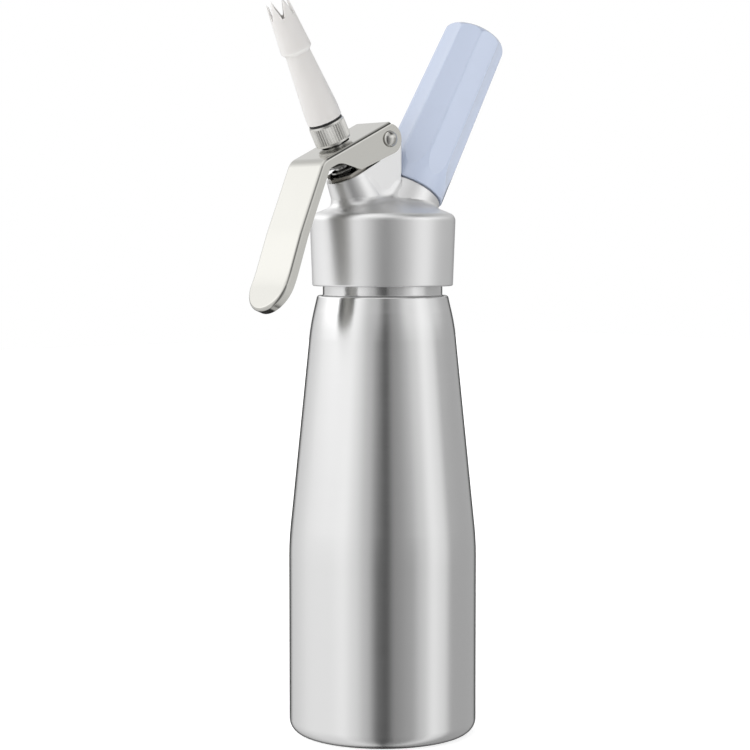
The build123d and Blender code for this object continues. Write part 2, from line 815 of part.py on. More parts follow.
def gas_charger():
    """Steel cartridge, neck down, its cap opened by the needle."""
    tip_s = charger_tip_s
    neck_top_s = tip_s + charger_neck_length
    body_low_s = neck_top_s + charger_shoulder_length
    end_s = tip_s + charger_length
    outside = rounded_turned(
        [
            (0, tip_s),
            (charger_neck_r, tip_s),
            (charger_neck_r, neck_top_s),
            (charger_r, body_low_s),
            (charger_r, end_s),
            (0, end_s),
        ],
        [0.8, 1.5, 3, charger_r - 0.8],
    )
    inside = rounded_turned(
        [
            (0, tip_s + charger_wall),
            (charger_neck_r - charger_wall, tip_s + charger_wall),
            (charger_neck_r - charger_wall, neck_top_s),
            (charger_r - charger_wall, body_low_s),
            (charger_r - charger_wall, end_s - charger_wall),
            (0, end_s - charger_wall),
        ],
        [0, 1, 2, charger_r - charger_wall - 0.8],
    )
    pierced = rod(needle_r + 0.25, tip_s - 1, tip_s + charger_wall + 1)
    return charger_place(outside - inside - pierced)


def charger_seal():
    """Ring that the cartridge's neck is pressed onto."""
    low = piercer_seat_s + piercer_flange_thickness + seat_gap / 2
    high = charger_tip_s - seat_gap / 2
    return charger_place(tube(piercer_flange_r - 0.2, needle_r + 1.3, low, high))


def piercer_body():
    """Screwed insert: flange in the stud's recess, thread, and a nose for the rubber sleeve."""
    seat = piercer_seat_s + seat_gap / 2
    top = piercer_seat_s + piercer_flange_thickness
    thread_low = piercer_seat_s - piercer_thread_length
    nose_low = thread_low - piercer_nose_length
    gasket_r = piercer_thread_r + 0.1
    body = turned(
        (0, nose_low),
        (piercer_nose_r, nose_low),
        (piercer_nose_r, thread_low),
        (piercer_thread_r, thread_low),
        (piercer_thread_r, seat),
        (piercer_flange_r, seat),
        (piercer_flange_r, top),
        (0, top),
    )
    body -= tube(piercer_flange_r - 0.5, gasket_r, seat - 0.01, seat + 1.1)
    body -= rod(needle_r + fixed_fit, thread_low + 2, top + 1)
    gas_way = rod(gas_way_r, nose_low + 1.5, thread_low + 2.5)
    outlet = Location((0, 0, nose_low + 3), (90, 0, 0)) * Cylinder(gas_way_r, 4 * piercer_nose_r)
    return charger_place(body - gas_way - outlet)


def piercing_needle():
    """Hollow needle with a slanted point."""
    low = piercer_seat_s - piercer_thread_length + 2.5
    high = charger_tip_s + needle_reach
    needle = tube(needle_r, needle_bore_r, low, high)
    point = Location((0, 0, high + 1.1), (0, 35, 0)) * Box(8, 8, 4)
    return charger_place(needle - point)


def piercer_o_ring():
    """Seals the insert in the casting."""
    wire_r = 0.5
    section = Pos((piercer_thread_r + 0.1 + piercer_flange_r - 0.5) / 2, piercer_seat_s + wire_r + 0.04)
    return charger_place(revolve(Plane.XZ * (section * Circle(wire_r)), Axis.Z))


def check_valve_sleeve():
    """Rubber sleeve round the nose of the insert."""
    high = piercer_seat_s - piercer_thread_length - 0.3
    low = high - piercer_nose_length + 0.8
    inner_r = piercer_nose_r + fixed_fit
    return charger_place(tube(inner_r + sleeve_wall, inner_r, low, high))


# ---- Files ------------------------------------------------------------------------------------------
os.makedirs("parts", exist_ok=True)
save(bottle(), "bottle")
save(head(), "head")
save(head_gasket(), "head_gasket")
save(lever(), "lever")
save(pivot_pin(), "pivot_pin")
save(valve_stem(), "valve_stem")
save(valve_guide(), "valve_guide")
save(valve_spring(), "valve_spring")
save(stem_o_ring(), "stem_o_ring")
save(valve_seal(), "valve_seal")
save(seal_nut(), "seal_nut")
save(nozzle_adapter(), "nozzle_adapter")
save(adapter_washer(), "adapter_washer")
save(nozzle_seal(), "nozzle_seal")
save(nozzle(), "nozzle")
save(holder_shell(), "holder_shell")
save(holder_core(), "holder_core")
save(gas_charger(), "gas_charger")
save(charger_seal(), "charger_seal")
save(piercer_body(), "piercer_body")
save(piercing_needle(), "piercing_needle")
save(piercer_o_ring(), "piercer_o_ring")
save(check_valve_sleeve(), "check_valve_sleeve")
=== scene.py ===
# %% [markdown]
# # A whipped cream dispenser
# This lesson dresses a finished CAD model of a whipped cream dispenser: a drawn aluminium bottle, a
# cast head that screws onto it, a pressed lever that pushes a sprung valve, a plastic decorating
# nozzle and a screwed holder for a gas cartridge. The model's solids already have their true shapes
# and move on joints, so most of the work here is in the metals and plastics, in the soft corners that
# a casting has, and in the light that polished metal needs. Everything is in metres, with +Z up.

# %% Load the frame
import math

import bmesh
import bpy
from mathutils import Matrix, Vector
from mathutils.bvhtree import BVHTree


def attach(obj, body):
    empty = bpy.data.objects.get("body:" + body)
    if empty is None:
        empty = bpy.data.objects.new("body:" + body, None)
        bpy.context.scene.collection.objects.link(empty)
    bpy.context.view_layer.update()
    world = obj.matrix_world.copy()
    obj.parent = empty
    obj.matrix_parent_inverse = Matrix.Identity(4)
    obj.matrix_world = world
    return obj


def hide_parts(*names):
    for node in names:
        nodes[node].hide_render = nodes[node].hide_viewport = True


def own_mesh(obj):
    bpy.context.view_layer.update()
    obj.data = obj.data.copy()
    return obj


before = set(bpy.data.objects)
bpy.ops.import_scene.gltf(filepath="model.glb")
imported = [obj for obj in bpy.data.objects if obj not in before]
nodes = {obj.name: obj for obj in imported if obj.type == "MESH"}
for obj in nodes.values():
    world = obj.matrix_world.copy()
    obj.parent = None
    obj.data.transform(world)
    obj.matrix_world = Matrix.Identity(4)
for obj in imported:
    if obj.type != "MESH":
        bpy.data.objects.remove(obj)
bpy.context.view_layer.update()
print("solids:", len(nodes))

# %% [markdown]
# ## Two leaning axes
# The valve train leans forward over the bottle's front and the cartridge leans back. Everything on
# them is easiest to place by its distance up its own axis, so two short functions turn such a
# distance into a point of the model and a point back into a distance and a radius.

# %% Places along the leaning axes
MM = 0.001
VALVE_FOOT = Vector((0, 0, 203.0 * MM))   # a foot is where the leaning axis crosses the bottle's
VALVE_LEAN = math.radians(-28)
PORT_FOOT = Vector((0, 0, 209.0 * MM))
PORT_LEAN = math.radians(30)


def axis_way(lean):
    """Unit vector up an axis that leans towards +X by that angle."""
    return Vector((math.sin(lean), 0, math.cos(lean)))


def along_and_out(point, foot, lean):
    """Distance of a point up an axis, and its radius from it."""
    way = axis_way(lean)
    along = (point - foot).dot(way)
    return along, (point - foot - way * along).length


print("valve axis", [round(v, 3) for v in axis_way(VALVE_LEAN)])

# %% [markdown]
# ## Colours and nodes
# Colours are picked as sRGB hex values, as a paint or plastics chart gives them, but Blender's shaders
# work in linear light. One function turns the first into the second. Another adds one shader node with
# its settings and its links, so that each finish below reads as a short list of what it is made of.
# Every pattern takes its size from a real one in millimetres: a noise texture's scale is how many of
# its lumps fit in a metre.


# %% Helpers for finishes
def linear(hex_colour):
    """Linear RGBA of an sRGB hex colour."""
    channels = [int(hex_colour[i : i + 2], 16) / 255 for i in (1, 3, 5)]
    straight = [c / 12.92 if c <= 0.04045 else ((c + 0.055) / 1.055) ** 2.4 for c in channels]
    return (*straight, 1.0)


def darker(hex_colour, shade):
    """Linear RGBA of a colour with that share of its light."""
    return (*(channel * shade for channel in linear(hex_colour)[:3]), 1.0)


def per_metre(size_mm):
    """Texture scale that gives lumps of that size."""
    return 1 / (size_mm * MM)


def add(tree, kind, settings=None, **inputs):
    """Adds one node with its settings and inputs.

    An input is named as in Blender, with _ for a space, or by its number where several share a name: _0
    is the first. It is given a value, or linked to an output or to another node's first output.
    """
    node = tree.nodes.new(kind)
    for name, value in (settings or {}).items():
        setattr(node, name, value)
    for name, value in inputs.items():
        key = int(name[1:]) if name[0] == "_" else name.replace("_", " ")
        if isinstance(value, bpy.types.Node):
            value = value.outputs[0]
        if isinstance(value, bpy.types.NodeSocket):
            tree.links.new(value, node.inputs[key])
        else:
            node.inputs[key].default_value = value
    return node


print("half of sRGB white in linear light:", round(linear("#808080")[0], 3))

# %% [markdown]
# ## Screw threads
# The solids carry plain cylinders where the real pieces have screw threads, because a fine helix
# makes a CAD model slow. When the head, nozzle or holder is unscrewed these cylinders show. A thread
# could be modelled as a helical ridge, but it must not rub on its mate, so here it is relief in the
# material: the angle round the axis and the distance along it together say how far up the thread's
# flank a point is. A mask keeps it to the threaded cylinder.


# %% Relief of a screw thread
RADIUS_SLACK = 0.3 * MM        # how far from the thread's radius a point still counts as on it
HALF_TURN = 0.5                # from a groove to the next crest


def cut_thread(tree, relief, foot, lean, pitch_mm, depth_mm, radius_mm, low_mm, high_mm):
    """Relief with a right-handed thread on top, from low_mm to high_mm up an axis from its foot."""
    place = add(tree, "ShaderNodeTexCoord").outputs["Object"]
    upright = add(tree, "ShaderNodeVectorRotate", {"rotation_type": "Y_AXIS"}, Vector=place, Center=foot,
                  Angle=-lean)
    parts = add(tree, "ShaderNodeSeparateXYZ", Vector=upright)
    x, y = parts.outputs["X"], parts.outputs["Y"]
    along = add(tree, "ShaderNodeMath", {"operation": "SUBTRACT"}, _0=parts.outputs["Z"], _1=foot[2])
    angle = add(tree, "ShaderNodeMath", {"operation": "ARCTAN2"}, _0=y, _1=x)
    turns = add(tree, "ShaderNodeMath", {"operation": "MULTIPLY"}, _0=angle, _1=1 / math.tau)
    pitches = add(tree, "ShaderNodeMath", {"operation": "MULTIPLY"}, _0=along, _1=per_metre(pitch_mm))
    phase = add(tree, "ShaderNodeMath", {"operation": "SUBTRACT"}, _0=pitches, _1=turns)
    flank = add(tree, "ShaderNodeMath", {"operation": "PINGPONG"}, _0=phase, _1=HALF_TURN)
    ridge = add(tree, "ShaderNodeMath", {"operation": "MULTIPLY"}, _0=flank, _1=1 / HALF_TURN)
    x_squared = add(tree, "ShaderNodeMath", {"operation": "MULTIPLY"}, _0=x, _1=x)
    squares = add(tree, "ShaderNodeMath", {"operation": "MULTIPLY_ADD"}, _0=y, _1=y, _2=x_squared)
    radius = add(tree, "ShaderNodeMath", {"operation": "SQRT"}, _0=squares)
    on_radius = add(tree, "ShaderNodeMath", {"operation": "COMPARE"}, _0=radius, _1=radius_mm * MM,
                    _2=RADIUS_SLACK)
    on_length = add(tree, "ShaderNodeMath", {"operation": "COMPARE"}, _0=along,
                    _1=(low_mm + high_mm) / 2 * MM, _2=(high_mm - low_mm) / 2 * MM)
    mask = add(tree, "ShaderNodeMath", {"operation": "MULTIPLY"}, _0=on_radius, _1=on_length)
    height = add(tree, "ShaderNodeMath", {"operation": "MULTIPLY"}, _0=ridge, _1=mask)
    return add(tree, "ShaderNodeBump", Strength=1.0, Distance=depth_mm * MM, Height=height, Normal=relief)


# Each thread lies between low_mm and high_mm up its own axis, which starts at foot and leans by lean.
NECK_THREAD = {
    "foot": (0, 0, 0), "lean": 0.0,
    "pitch_mm": 3.0, "depth_mm": 0.7, "radius_mm": 24.9, "low_mm": 195.2, "high_mm": 204.6,
}
STUD_THREAD = {
    "foot": tuple(PORT_FOOT), "lean": PORT_LEAN,
    "pitch_mm": 3.0, "depth_mm": 0.5, "radius_mm": 12.0, "low_mm": 28.6, "high_mm": 39.3,
}
SPIGOT_THREAD = {
    "foot": tuple(VALVE_FOOT), "lean": VALVE_LEAN,
    "pitch_mm": 1.5, "depth_mm": 0.25, "radius_mm": 5.0, "low_mm": 67.0, "high_mm": 73.0,
}
for name, thread in {"neck": NECK_THREAD, "stud": STUD_THREAD, "spigot": SPIGOT_THREAD}.items():
    print(name, "thread:", round((thread["high_mm"] - thread["low_mm"]) / thread["pitch_mm"], 1), "turns")

# %% [markdown]
# ## Brushed metals
# Satin aluminium and stainless steel get their look from fine scratches that all run one way. Each
# scratch is a groove, so light spreads across the grain and stays sharp along it. On a drawn or turned
# piece the grain runs round the axis: highlights stay narrow round it and smear up and down. Two
# things give that. A noise that changes fast along the axis and slowly across it drives a small bump
# and a small change of roughness, and the shader's own anisotropy, with its tangent turned from round
# the axis to along it, smears the highlight lengthwise.


# %% A function for brushed metal
SCRATCH_DEPTH = 0.01 * MM
SCRATCH_SHADE = 0.95           # share of its light that a colour keeps in a groove
ROUGHNESS_SPREAD = 0.06        # from the smoothest to the roughest place of one finish
HANDLING_MM = 22               # size of the faint clouds that wiping and handling leave
HANDLING_SHARE = 0.5           # how much they count beside the scratches
QUARTER_TURN = 0.25
MIXED_LOW, MIXED_HIGH = 0.5, 1.0   # most values of the scratches and clouds together lie between these


def new_material(name):
    """Empty node material and its node tree."""
    material = bpy.data.materials.new(name)
    material.use_nodes = True
    material.node_tree.nodes.clear()
    return material, material.node_tree


def brushed_metal(name, colour, roughness, grain_mm, run_mm, bump, anisotropy, thread=None):
    """Metal with scratches round Z that are grain_mm wide and run_mm long."""
    material, tree = new_material(name)
    place = add(tree, "ShaderNodeTexCoord").outputs["Object"]
    stretch = (per_metre(run_mm), per_metre(run_mm), per_metre(grain_mm))
    grain_place = add(tree, "ShaderNodeVectorMath", {"operation": "MULTIPLY"}, _0=place, _1=stretch)
    grain = add(tree, "ShaderNodeTexNoise", Vector=grain_place, Scale=1.0, Detail=4.0, Roughness=0.65)
    cloud = add(tree, "ShaderNodeTexNoise", Vector=place, Scale=per_metre(HANDLING_MM), Detail=2.0)
    mixed = add(tree, "ShaderNodeMath", {"operation": "MULTIPLY_ADD"}, _0=cloud, _1=HANDLING_SHARE,
                _2=grain)
    rough = add(tree, "ShaderNodeMapRange", Value=mixed, From_Min=MIXED_LOW, From_Max=MIXED_HIGH,
                To_Min=roughness - ROUGHNESS_SPREAD / 2, To_Max=roughness + ROUGHNESS_SPREAD / 2)
    relief = add(tree, "ShaderNodeBump", Strength=bump, Distance=SCRATCH_DEPTH, Height=grain)
    if thread:
        relief = cut_thread(tree, relief, **thread)
    tone = add(tree, "ShaderNodeMix", {"data_type": "RGBA"}, _0=grain, _6=darker(colour, SCRATCH_SHADE),
               _7=linear(colour))
    tangent = add(tree, "ShaderNodeTangent", {"direction_type": "RADIAL", "axis": "Z"})
    shader = add(tree, "ShaderNodeBsdfPrincipled", Base_Color=tone.outputs[2], Metallic=1.0,
                 Roughness=rough, Normal=relief, Tangent=tangent, Anisotropic=anisotropy,
                 Anisotropic_Rotation=QUARTER_TURN)
    add(tree, "ShaderNodeOutputMaterial", Surface=shader)
    return material


# %% The bottle's finish
def dress(material, *names):
    """Gives CAD solids a material in every slot."""
    for name in names:
        if not nodes[name].material_slots:
            nodes[name].data.materials.append(material)
        for slot in nodes[name].material_slots:
            slot.material = material
    print(material.name, "->", ", ".join(names))


# Aluminium drawn to shape and then brushed on a lathe: a bright satin that smears a highlight up and
# down. Real scratches are about 0.05 mm wide. They are drawn at 0.16 mm, so that they show close up.
drawn_aluminium = brushed_metal("satin_drawn_aluminium", "#DDDDDD", roughness=0.24, grain_mm=0.16,
                                run_mm=40, bump=0.12, anisotropy=0.8, thread=NECK_THREAD)
dress(drawn_aluminium, "bottle")

# %% [markdown]
# ## The head's casting
# The head is die-cast aluminium that was tumbled with ceramic chips until it shone softly. Tumbling has
# no direction, so the scratches are replaced by a very fine even grain, and the reflections are
# softer than the bottle's. Its surface also waves slightly, as castings do: a slow noise, about the
# size of a thumbnail, bends the reflections a little. The same recipe with other colours and sizes
# serves the machined liner and the plated steel of the lever and its rivet.


# %% A function for tumbled metal
TUMBLED_DEPTH = 0.01 * MM
FORMING_DEPTH = 0.08 * MM
FORMING_SHADE = 0.96           # share of its light that a colour keeps in the waves' hollows
NOISE_LOW, NOISE_HIGH = 0.3, 0.7   # most of a noise texture's values lie between these


def tumbled_metal(name, colour, roughness, grain_mm, wave_mm, bump, wave=0.3, thread=None):
    """Metal with a soft even shine: fine grain for the finish, slow waves for the forming."""
    material, tree = new_material(name)
    place = add(tree, "ShaderNodeTexCoord").outputs["Object"]
    grain = add(tree, "ShaderNodeTexNoise", Vector=place, Scale=per_metre(grain_mm), Detail=3.0)
    waves = add(tree, "ShaderNodeTexNoise", Vector=place, Scale=per_metre(wave_mm), Detail=1.0)
    rough = add(tree, "ShaderNodeMapRange", Value=grain, From_Min=NOISE_LOW, From_Max=NOISE_HIGH,
                To_Min=roughness - ROUGHNESS_SPREAD / 2, To_Max=roughness + ROUGHNESS_SPREAD / 2)
    slow = add(tree, "ShaderNodeBump", Strength=wave, Distance=FORMING_DEPTH, Height=waves)
    relief = add(tree, "ShaderNodeBump", Strength=bump, Distance=TUMBLED_DEPTH, Height=grain, Normal=slow)
    if thread:
        relief = cut_thread(tree, relief, **thread)
    tone = add(tree, "ShaderNodeMix", {"data_type": "RGBA"}, _0=waves, _6=darker(colour, FORMING_SHADE),
               _7=linear(colour))
    shader = add(tree, "ShaderNodeBsdfPrincipled", Base_Color=tone.outputs[2], Metallic=1.0,
                 Roughness=rough, Normal=relief)
    add(tree, "ShaderNodeOutputMaterial", Surface=shader)
    return material


# %% The head, the liner, the lever and the rivet
# Tumbled aluminium: a pale and even soft shine. The chips leave marks of about 0.1 mm, which are drawn
# at 0.4 mm to show at all.
cast_aluminium = tumbled_metal("tumbled_cast_aluminium", "#F0F0F0", roughness=0.40, grain_mm=0.4,
                               wave_mm=16, bump=0.12, wave=0.2, thread=STUD_THREAD)
# Machined aluminium: a little darker and sharper than the casting.
liner_aluminium = tumbled_metal("machined_liner_aluminium", "#D9D9D8", roughness=0.28, grain_mm=0.3,
                                wave_mm=10, bump=0.15)
# Nickel plate on pressed steel: almost a mirror, a little warm, with long waves from the press.
plated_steel = tumbled_metal("nickel_plated_pressed_steel", "#C2C1BC", roughness=0.15, grain_mm=0.4,
                             wave_mm=24, bump=0.08, wave=0.25)
# The same plate on a small rivet, whose waves are as small as its head.
plated_rivet = tumbled_metal("nickel_plated_rivet", "#C4C3BF", roughness=0.16, grain_mm=0.3, wave_mm=6,
                             bump=0.08)
dress(cast_aluminium, "head")
dress(liner_aluminium, "holder_core")
dress(plated_steel, "lever")
dress(plated_rivet, "pivot_pin")

# %% [markdown]
# ## Small turned pieces
# The stem, its nut and the needle are turned from stainless bar, the bush, the insert and the nozzle's
# adapter from brass that is then nickel plated. The cartridge is drawn from steel sheet and plated with
# zinc. A cutting tool leaves fine rings, so most of them share the bottle's recipe with shorter
# scratches. Its rings go round the bottle's axis even where the piece leans, which doesn't show on
# pieces this small. The adapter's knurl is pressed in by a roller, which leaves no rings.

# %% Stem, bush, adapter and cartridge
# Stainless steel: mid grey, with a soft line of light. Tool marks of 0.05 mm are drawn at 0.12 mm.
turned_stainless = brushed_metal("turned_stainless_steel", "#B9B9B7", roughness=0.20, grain_mm=0.12,
                                 run_mm=6, bump=0.2, anisotropy=0.4)
# Nickel over brass, deep in the boss. Its colour is painted darker and warmer than the plate's own, as
# painted shade for the shade that falls inside the boss.
shade_darkened_bush_brass = brushed_metal("turned_nickel_plated_brass_painted_shade", "#9A9791", roughness=0.26, grain_mm=0.12,
                           run_mm=6, bump=0.2, anisotropy=0.4)
# The same plate on the knurl: satin, because its many small teeth wear.
knurled_brass = tumbled_metal("knurled_nickel_plated_brass", "#E0DFDB", roughness=0.38, grain_mm=0.25,
                              wave_mm=5, bump=0.15, thread=SPIGOT_THREAD)
# Zinc plate: slightly blue, with a dull shine.
cartridge_steel = brushed_metal("zinc_plated_cartridge_steel", "#B9BBBD", roughness=0.30, grain_mm=0.2,
                                run_mm=10, bump=0.2, anisotropy=0.3)
dress(turned_stainless, "valve_stem", "seal_nut", "piercing_needle")
# The bush and the piercer's body get the darkened nickel with its painted shade.
dress(shade_darkened_bush_brass, "valve_guide", "piercer_body")
dress(knurled_brass, "nozzle_adapter")
dress(cartridge_steel, "gas_charger")

# %% [markdown]
# ## Plastics and rubber
# The nozzle is acetal, a white engineering plastic that light enters a little, so its shaded side never
# goes dark. The holder's sleeve is a glossy light blue plastic from a polished mould: a hard, clear
# highlight over an even colour. The seals are nitrile rubber, matt and nearly black, and the head's
# gasket is grey silicone.


# %% A function for moulded plastic and rubber
MOULD_DEPTH = 0.02 * MM
MOTTLE_MM = 9                  # size of the clouds that pigment leaves in the resin
ROUGHNESS_SWING = 0.15         # share by which the roughness goes up and down
COAT_ROUGHNESS = 0.06          # of the skin that a polished mould leaves


def moulded(name, colour, roughness, grain_mm, bump, shade=0.96, scatter_mm=0.0, coat=0.0):
    """Moulded plastic or rubber. The mould leaves a fine grain and the resin a faint mottling."""
    material, tree = new_material(name)
    place = add(tree, "ShaderNodeTexCoord").outputs["Object"]
    grain = add(tree, "ShaderNodeTexNoise", Vector=place, Scale=per_metre(grain_mm), Detail=3.0)
    cloud = add(tree, "ShaderNodeTexNoise", Vector=place, Scale=per_metre(MOTTLE_MM), Detail=2.0)
    rough = add(tree, "ShaderNodeMapRange", Value=grain, From_Min=NOISE_LOW, From_Max=NOISE_HIGH,
                To_Min=roughness * (1 - ROUGHNESS_SWING), To_Max=roughness * (1 + ROUGHNESS_SWING))
    relief = add(tree, "ShaderNodeBump", Strength=bump, Distance=MOULD_DEPTH, Height=grain)
    tone = add(tree, "ShaderNodeMix", {"data_type": "RGBA"}, _0=cloud, _6=darker(colour, shade),
               _7=linear(colour))
    shader = add(tree, "ShaderNodeBsdfPrincipled", Base_Color=tone.outputs[2], Roughness=rough,
                 Normal=relief, Subsurface_Weight=1.0 if scatter_mm else 0.0,
                 Subsurface_Scale=scatter_mm * MM, Subsurface_Radius=(1.0, 1.0, 1.0),
                 Coat_Weight=coat, Coat_Roughness=COAT_ROUGHNESS)
    add(tree, "ShaderNodeOutputMaterial", Surface=shader)
    return material


# %% Nozzle, holder and seals
# The marks of a mould's polishing are about 0.05 mm, and are drawn at 0.2 to 0.3 mm to show close up.
# Acetal: white and a little waxy, since light spreads inside it.
acetal = moulded("white_moulded_acetal", "#DBD9D7", roughness=0.34, grain_mm=0.25, bump=0.15, shade=0.98,
                 scatter_mm=1.2)
# ABS from a polished mould: an even light blue under a hard, clear highlight.
blue_plastic = moulded("light_blue_moulded_abs", "#C2CDE3", roughness=0.16, grain_mm=0.3, bump=0.05,
                       shade=0.97, coat=1.0)
# Nitrile rubber: nearly black and matt.
nitrile = moulded("black_nitrile_rubber", "#1B1B1B", roughness=0.55, grain_mm=0.2, bump=0.4, shade=0.8)
# Silicone rubber: grey and soft, with a little light inside.
silicone = moulded("grey_silicone_rubber", "#9FA2A4", roughness=0.5, grain_mm=0.3, bump=0.2,
                   scatter_mm=0.6)
# Nylon cut from sheet: off-white, with a low shine.
washer_plastic = moulded("cut_nylon_washer", "#E6E4DE", roughness=0.45, grain_mm=0.25, bump=0.2)
dress(acetal, "nozzle")
dress(blue_plastic, "holder_shell")
dress(nitrile, "nozzle_seal", "stem_o_ring", "valve_seal", "charger_seal", "piercer_o_ring",
      "check_valve_sleeve")
dress(silicone, "head_gasket")
dress(washer_plastic, "adapter_washer")

# %% [markdown]
# ## The casting's soft corners
# Molten metal does not fill a sharp inside corner well, so a casting has a generous round wherever a
# boss or post meets the dome. Rounding where a leaning cylinder, a flat post and a dome all meet is
# hard for a CAD kernel, but easy for a mesh: rebuild the head as an even grid of small faces, relax
# that grid until its corners are soft, and keep only the patches that now stand outside the original.
# Those patches are the fillets. Their borders are tucked just under the casting's skin, so the two
# surfaces meet without an edge.

# %% Relax a copy of the casting
GRID = 0.55 * MM
RELAX_STEPS = 80
RELAX_FACTOR = 0.5


def put_in_scene(name, data):
    """New object with that mesh or camera."""
    piece = bpy.data.objects.new(name, data)
    bpy.context.scene.collection.objects.link(piece)
    return piece


def relaxed_copy(source, name):
    """Copy of a solid as an even, relaxed grid."""
    piece = put_in_scene(name, source.data.copy())
    remesh = piece.modifiers.new("grid", "REMESH")
    remesh.mode = "VOXEL"
    remesh.voxel_size = GRID
    relax = piece.modifiers.new("relax", "SMOOTH")
    relax.factor = RELAX_FACTOR
    relax.iterations = RELAX_STEPS
    bpy.context.view_layer.update()
    final = piece.evaluated_get(bpy.context.evaluated_depsgraph_get())
    mesh = bpy.data.meshes.new_from_object(final)
    piece.modifiers.clear()
    piece.data = mesh
    return piece


casting_fillets = relaxed_copy(nodes["head"], "casting_fillets")
print("relaxed grid, faces:", len(casting_fillets.data.polygons))

# %% Where a fillet may stay
UNDER_DOME_Z = 228.7 * MM      # a little under the dome's top, where its skin starts
DOME_CURVE_R = 72.1 * MM
BOSS_R = 9.2 * MM              # a little inside the valve boss's rim
BOSS_LOW = 14 * MM             # up the valve's axis, under the bores of the boss
RIM_R = 11 * MM                # a little outside that rim
RIM_LOW = 41.2 * MM            # up the valve's axis, a little under the rim
PORT_R = 17 * MM               # a little outside the charger port
PORT_FACE = 27 * MM            # up the port's axis, where the holder needs its seat bare
PIVOT_CLEAR_Z = 252 * MM       # over this the post is bare, for the lever
FADE = 5 * MM                  # the last stretch before a limit, over which a fillet thins out


def kept_share(point):
    """How much of a fillet stays there: none under the dome or in the boss, less near port and pivot."""
    valve_along, valve_out = along_and_out(point, VALVE_FOOT, VALVE_LEAN)
    port_along, port_out = along_and_out(point, PORT_FOOT, PORT_LEAN)
    in_boss = valve_out < BOSS_R and valve_along > BOSS_LOW
    past_rim = valve_out < RIM_R and valve_along > RIM_LOW
    dome_drop = (point.x**2 + point.y**2) / (2 * DOME_CURVE_R)
    if in_boss or past_rim or point.z < UNDER_DOME_Z - dome_drop:
        return 0
    below_port = (PORT_FACE - port_along) / FADE if port_out < PORT_R else 1
    below_pivot = (PIVOT_CLEAR_Z - point.z) / FADE
    return min(max(below_port, 0), max(below_pivot, 0), 1)


print("share kept on the post, 250 mm up:", round(kept_share(Vector((-5.8, 0, 250)) * MM), 2))


# %% Keep only the fillets
STAND_OUT = 0.03 * MM          # a face stays if it stands this far out of the casting's skin
TUCK = 0.12 * MM               # how far a fillet's border goes under that skin


def smooth(mesh):
    """Shades every face smooth."""
    mesh.polygons.foreach_set("use_smooth", [True] * len(mesh.polygons))


def cover(piece, material):
    """Gives a piece one material, in place of any that its mesh was copied with."""
    piece.data.materials.clear()
    piece.data.materials.append(material)


def keep_fillets(piece, source):
    """Deletes all of a relaxed grid but the patches that stand outside the source."""
    skin = BVHTree.FromObject(source, bpy.context.evaluated_depsgraph_get())
    grid = bmesh.new()
    grid.from_mesh(piece.data)
    heights = {}
    for vertex in grid.verts:
        share = kept_share(vertex.co)
        place, normal, _, distance = skin.find_nearest(vertex.co)
        outside = (vertex.co - place).dot(normal) > 0
        vertex.co = place.lerp(vertex.co, share)
        heights[vertex] = distance * share if outside else -1
    spare = [face for face in grid.faces if max(heights[v] for v in face.verts) < STAND_OUT]
    bmesh.ops.delete(grid, geom=spare, context="FACES")
    for vertex in grid.verts:
        if any(edge.is_boundary for edge in vertex.link_edges):
            vertex.co -= vertex.normal * TUCK
    grid.to_mesh(piece.data)
    grid.free()
    smooth(piece.data)


keep_fillets(casting_fillets, nodes["head"])
cover(casting_fillets, cast_aluminium)
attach(casting_fillets, "head")
print("fillets, faces:", len(casting_fillets.data.polygons))

# %% [markdown]
# ## The valve's spring
# A compression spring for such a valve is wound from stainless wire, with its last turns at each end
# laid close so that it stands square. The CAD spring is a plain helix of fixed length. This one is
# swept as a mesh tube along a helix whose pitch changes: close, then open, then close again.

# %% The spring's line
WIRE_R = 0.6 * MM
WIRE_SIDES = 12
COIL_R = 5.4 * MM
SPRING_FOOT = 30.55 * MM       # up the valve's axis, where the spring stands on the bush
SPRING_HEIGHT = 19.64 * MM
TURNS = 8
CLOSED_TURNS = 1.1             # at each end
CLOSED_PITCH = 2.1 * WIRE_R    # the wire almost touches itself
STEPS_PER_TURN = 40


def spring_height(turn):
    """Height of the wire's middle after that many turns."""
    open_turns = TURNS - 2 * CLOSED_TURNS
    open_pitch = (SPRING_HEIGHT - 2 * WIRE_R - 2 * CLOSED_TURNS * CLOSED_PITCH) / open_turns
    first = min(turn, CLOSED_TURNS) * CLOSED_PITCH
    middle = min(max(turn - CLOSED_TURNS, 0), open_turns) * open_pitch
    last = max(turn - (TURNS - CLOSED_TURNS), 0) * CLOSED_PITCH
    return WIRE_R + first + middle + last


print("spring's top:", round((spring_height(TURNS) + WIRE_R) / MM, 2), "mm over its foot")


# %% Wind the spring
def wire_ring(turn):
    """Points round the wire at one place of the coil, in the spring's own upright frame."""
    angle = math.tau * turn
    out = Vector((math.cos(angle), math.sin(angle), 0))
    centre = out * COIL_R + Vector((0, 0, spring_height(turn)))
    ring = []
    for side in range(WIRE_SIDES):
        bend = math.tau * side / WIRE_SIDES
        ring.append(centre + out * math.cos(bend) * WIRE_R + Vector((0, 0, math.sin(bend) * WIRE_R)))
    return ring


